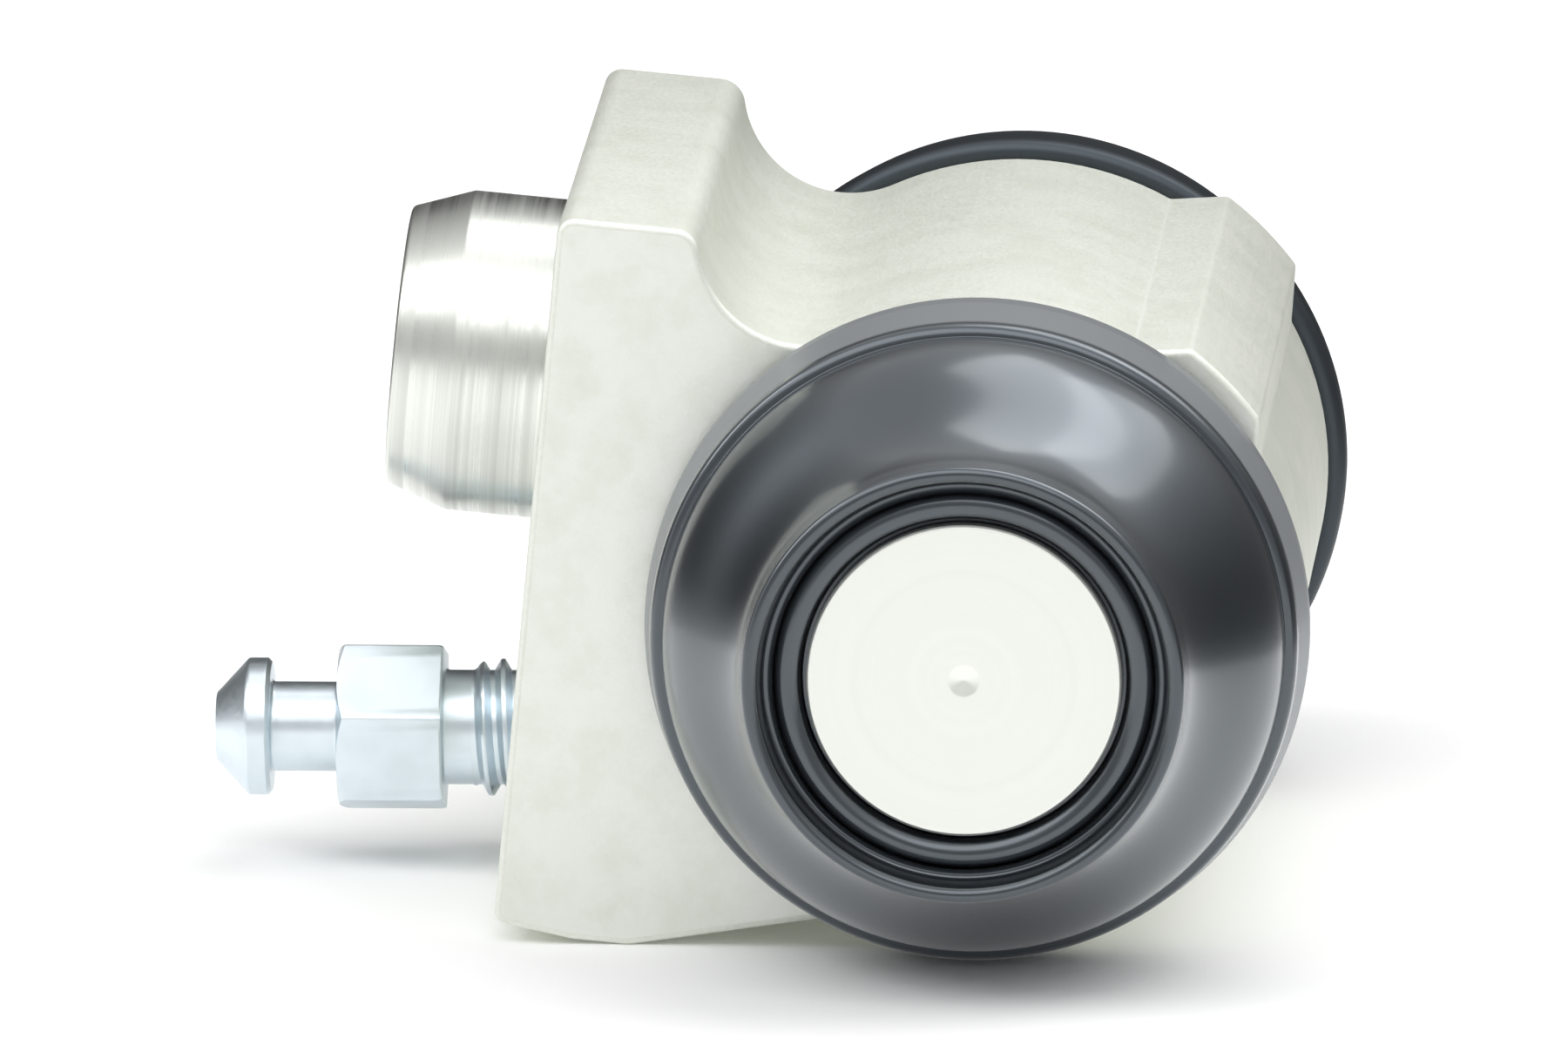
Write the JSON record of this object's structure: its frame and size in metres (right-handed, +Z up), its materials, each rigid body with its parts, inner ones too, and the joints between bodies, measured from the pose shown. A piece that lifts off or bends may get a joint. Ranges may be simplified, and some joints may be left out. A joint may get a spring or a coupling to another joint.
{
  "type": "drum brake wheel cylinder",
  "caption": "Hydraulic drum brake wheel cylinder: aluminium body with flat mounting block and spigot, opposed pistons in rubber dust boots, and a bleed screw.",
  "frame": {"origin": "on the mounting face, half way between the two fixing holes, between the spigot and the bleed screw", "axes": "-X out of the mounting face, towards the backing plate; Y along the bore, with the front piston at -Y; +Z up, from the bleed screw towards the spigot"},
  "size_m": [0.0629, 0.0884, 0.0416],
  "materials": {
    "cast_aluminium": "bead-blasted, with machined end faces, mounting face and spigot",
    "turned_aluminium": "fine turned, satin",
    "seal_rubber": "moulded, matt",
    "pressed_steel": "pressed sheet",
    "spring_wire": "drawn wire",
    "boot_rubber": "moulded, glossy",
    "zinc_plated_steel": "bright zinc plate"
  },
  "bodies": {
    "cylinder": {"cylinder_body": "cast_aluminium", "dust_boot_front": "boot_rubber", "dust_boot_rear": "boot_rubber", "return_spring": "spring_wire"},
    "front_piston": {"piston_front": "turned_aluminium", "piston_cup_front": "seal_rubber", "cup_expander_front": "pressed_steel"},
    "rear_piston": {"piston_rear": "turned_aluminium", "piston_cup_rear": "seal_rubber", "cup_expander_rear": "pressed_steel"},
    "bleeder": {"bleed_screw": "zinc_plated_steel"}
  },
  "joints": [
    {"name": "piston_front_slide", "type": "slide", "parent": "cylinder", "child": "front_piston", "axis": [0, -1, 0], "range_m": [-0.005, 0.002], "stiffness_N_per_m": 800, "deforming": ["return_spring", "dust_boot_front"]},
    {"name": "piston_rear_slide", "type": "slide", "parent": "cylinder", "child": "rear_piston", "axis": [0, 1, 0], "range_m": [-0.005, 0.002], "stiffness_N_per_m": 800, "deforming": ["return_spring", "dust_boot_rear"]},
    {"name": "bleed_screw_turn", "type": "hinge", "parent": "cylinder", "child": "bleeder", "pos_m": [0, 0, -0.0086], "axis": [-0.9954, 0, -0.0958], "range_deg": [0, 180]}
  ]
}
